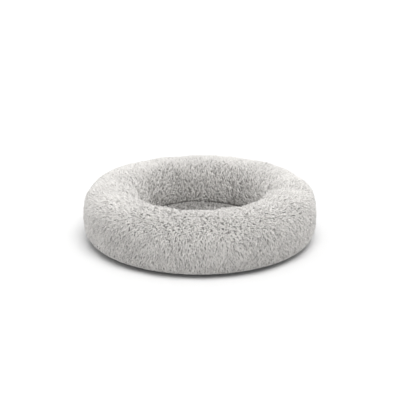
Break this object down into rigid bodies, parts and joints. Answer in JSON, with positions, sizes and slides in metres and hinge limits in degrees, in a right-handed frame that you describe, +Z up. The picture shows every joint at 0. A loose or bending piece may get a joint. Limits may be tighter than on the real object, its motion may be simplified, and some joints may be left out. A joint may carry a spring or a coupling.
{
  "type": "pet cushion bed",
  "caption": "Round faux-fur pet bed: a fat ring bolster round a sunken padded well, on a woven non-slip base with a hidden zip.",
  "frame": {"origin": "centre of the bed on the floor, under its grip dots", "axes": "+Z up out of the sleeping well; -Y towards the bed's front; +Y towards the back half, which holds the zip"},
  "size_m": [0.76, 0.76, 0.186],
  "materials": {
    "ring_fur": "clumped short-shag faux fur, pale warm grey",
    "well_fur": "clumped short-shag faux fur, pale warm grey",
    "binding": "ribbed woven tape",
    "base_cloth": "coarse plain weave",
    "grip_rubber": "matt",
    "liner_cloth": "point-bonded non-woven",
    "fibre": "loose polyester fibre",
    "zip_tape": "fine herringbone weave",
    "zip_coil": "semi-matt nylon",
    "zip_metal": "satin nickel",
    "label_satin": "satin"
  },
  "bodies": {
    "bed": {"fur_panel_front_right": "ring_fur", "fur_panel_front_left": "ring_fur", "fur_panel_back_left": "ring_fur", "fur_panel_back_right": "ring_fur", "well_panel": "well_fur", "crease_binding": "binding", "base_panel": "base_cloth", "base_binding": "binding", "grip_dots": "grip_rubber", "bolster_liner_upper": "liner_cloth", "bolster_liner_lower": "liner_cloth", "bolster_fill": "fibre", "pad_liner_upper": "liner_cloth", "pad_liner_lower": "liner_cloth", "pad_fill": "fibre", "zip_tape_outer": "zip_tape", "zip_tape_inner": "zip_tape", "zip_coil_outer": "zip_coil", "zip_coil_inner": "zip_coil", "zip_top_stop": "zip_metal", "zip_bottom_stop": "zip_metal", "zip_end_tab_right": "binding", "zip_end_tab_left": "binding", "care_label": "label_satin"},
    "slider": {"zip_slider": "zip_metal"},
    "pull": {"zip_pull": "zip_metal"}
  },
  "joints": [
    {"name": "zip_run", "type": "hinge", "parent": "bed", "child": "slider", "pos_m": [0, 0, 0], "axis": [0, 0, 1], "range_deg": [0, 159]},
    {"name": "pull_swing", "type": "hinge", "parent": "slider", "child": "pull", "pos_m": [0.33821, 0.05993, 0.0059], "axis": [-0.8507, -0.1507, -0.5036], "range_deg": [0, 180]}
  ]
}
